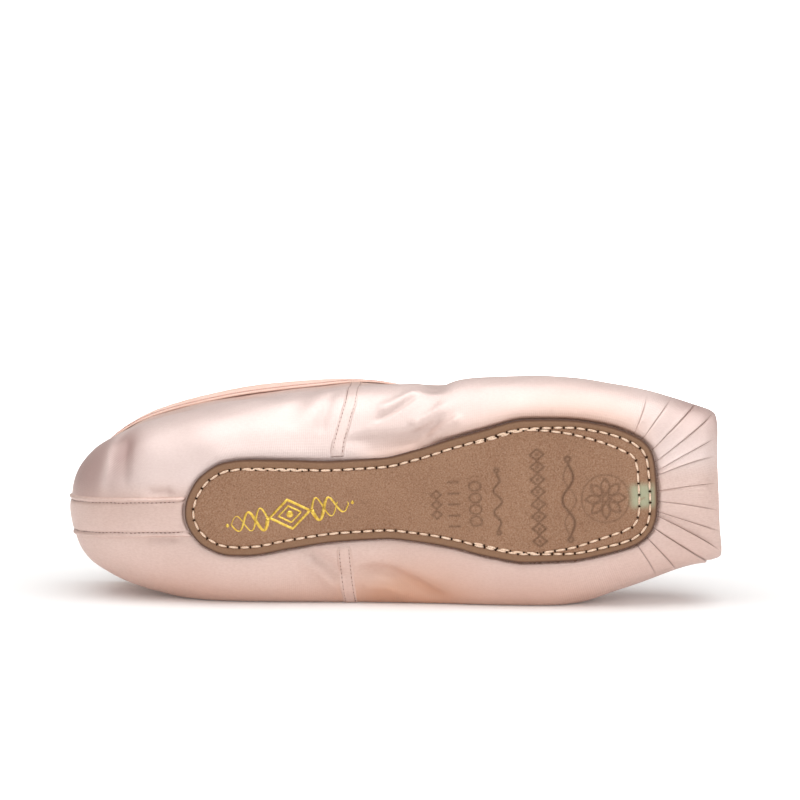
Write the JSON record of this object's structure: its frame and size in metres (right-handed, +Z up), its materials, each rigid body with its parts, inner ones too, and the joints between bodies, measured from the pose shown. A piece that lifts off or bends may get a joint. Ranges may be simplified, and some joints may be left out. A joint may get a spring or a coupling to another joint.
{
  "type": "pointe shoe",
  "caption": "Satin pointe shoe lying on its side: hollow pleated upper with a flat platform, thin stitched outsole, insole, heel strip and collar binding.",
  "frame": {"origin": "on the floor, under the middle of the shoe as it lies on its left side", "axes": "+X from heel to toe, -Y out of the outsole, +Y out of the collar, +Z up from the floor"},
  "size_m": [0.2406, 0.0582, 0.0834],
  "materials": {
    "satin": "pale pink satin with a soft sheen",
    "binding_tape": "ribbed peach tape",
    "sole_leather": "matt brown split leather",
    "canvas": "unbleached cotton canvas",
    "stitch_thread": "waxed cream thread",
    "foil": "gold foil stamping"
  },
  "bodies": {
    "root": {"upper": "satin", "outsole": "sole_leather", "insole": "canvas", "heel_strip": "satin", "collar_binding": "binding_tape"}
  },
  "joints": []
}
